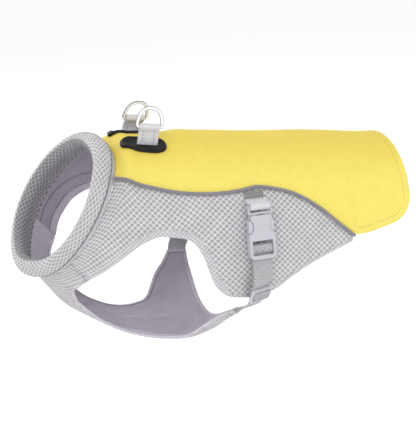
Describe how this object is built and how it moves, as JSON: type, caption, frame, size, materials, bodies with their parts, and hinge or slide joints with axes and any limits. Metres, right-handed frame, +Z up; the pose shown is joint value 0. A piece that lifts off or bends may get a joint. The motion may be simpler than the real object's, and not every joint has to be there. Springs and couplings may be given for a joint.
{
  "type": "dog cooling vest",
  "caption": "Dog cooling vest with a padded mesh collar, yellow back, grey mesh sides and chest, side-release buckle straps and leash D-rings.",
  "frame": {"origin": "inner face of the back on the spine, near the withers, where the dog's back carries the vest", "axes": "+X from the neck to the tail, +Z up, -Y is the dog's left side"},
  "size_m": [0.3881, 0.208, 0.2313],
  "materials": {
    "yellow_cloth": "matt embossed cloth",
    "side_mesh": "matt spacer mesh",
    "chest_mesh": "matt spacer mesh",
    "collar_mesh": "matt spacer mesh over padding",
    "piping": "covered cord",
    "webbing": "woven strap",
    "woven_anchor": "woven patch",
    "rubber": "satin",
    "plastic": "moulded",
    "chrome": "polished"
  },
  "bodies": {
    "vest": {"back_panel": "yellow_cloth", "chest_panel": "chest_mesh", "collar": "collar_mesh", "adjusting_strap_left": "webbing", "adjusting_strap_right": "webbing", "buckle_female_left": "plastic", "buckle_female_right": "plastic", "buckle_loop_left": "webbing", "buckle_loop_right": "webbing", "buckle_male_left": "plastic", "buckle_male_right": "plastic", "leash_loop_left": "webbing", "leash_loop_right": "webbing", "leash_patch_left": "rubber", "leash_patch_right": "rubber", "piping_left": "piping", "piping_right": "piping", "side_panel_left": "side_mesh", "side_panel_right": "side_mesh", "slider_left": "plastic", "slider_right": "plastic", "strap_anchor_left": "woven_anchor", "strap_anchor_right": "woven_anchor"},
    "ring_left": {"d_ring_left": "chrome"},
    "ring_right": {"d_ring_right": "chrome"}
  },
  "joints": [
    {"name": "ring_left_swing", "type": "hinge", "parent": "vest", "child": "ring_left", "pos_m": [-0.06083, -0.0269, 0.01816], "axis": [0.989, -0.0909, -0.1167], "range_deg": [-116, 150]},
    {"name": "ring_right_swing", "type": "hinge", "parent": "vest", "child": "ring_right", "pos_m": [-0.06041, 0.02032, 0.01664], "axis": [0.989, 0.0909, -0.1167], "range_deg": [-145, 96]}
  ]
}
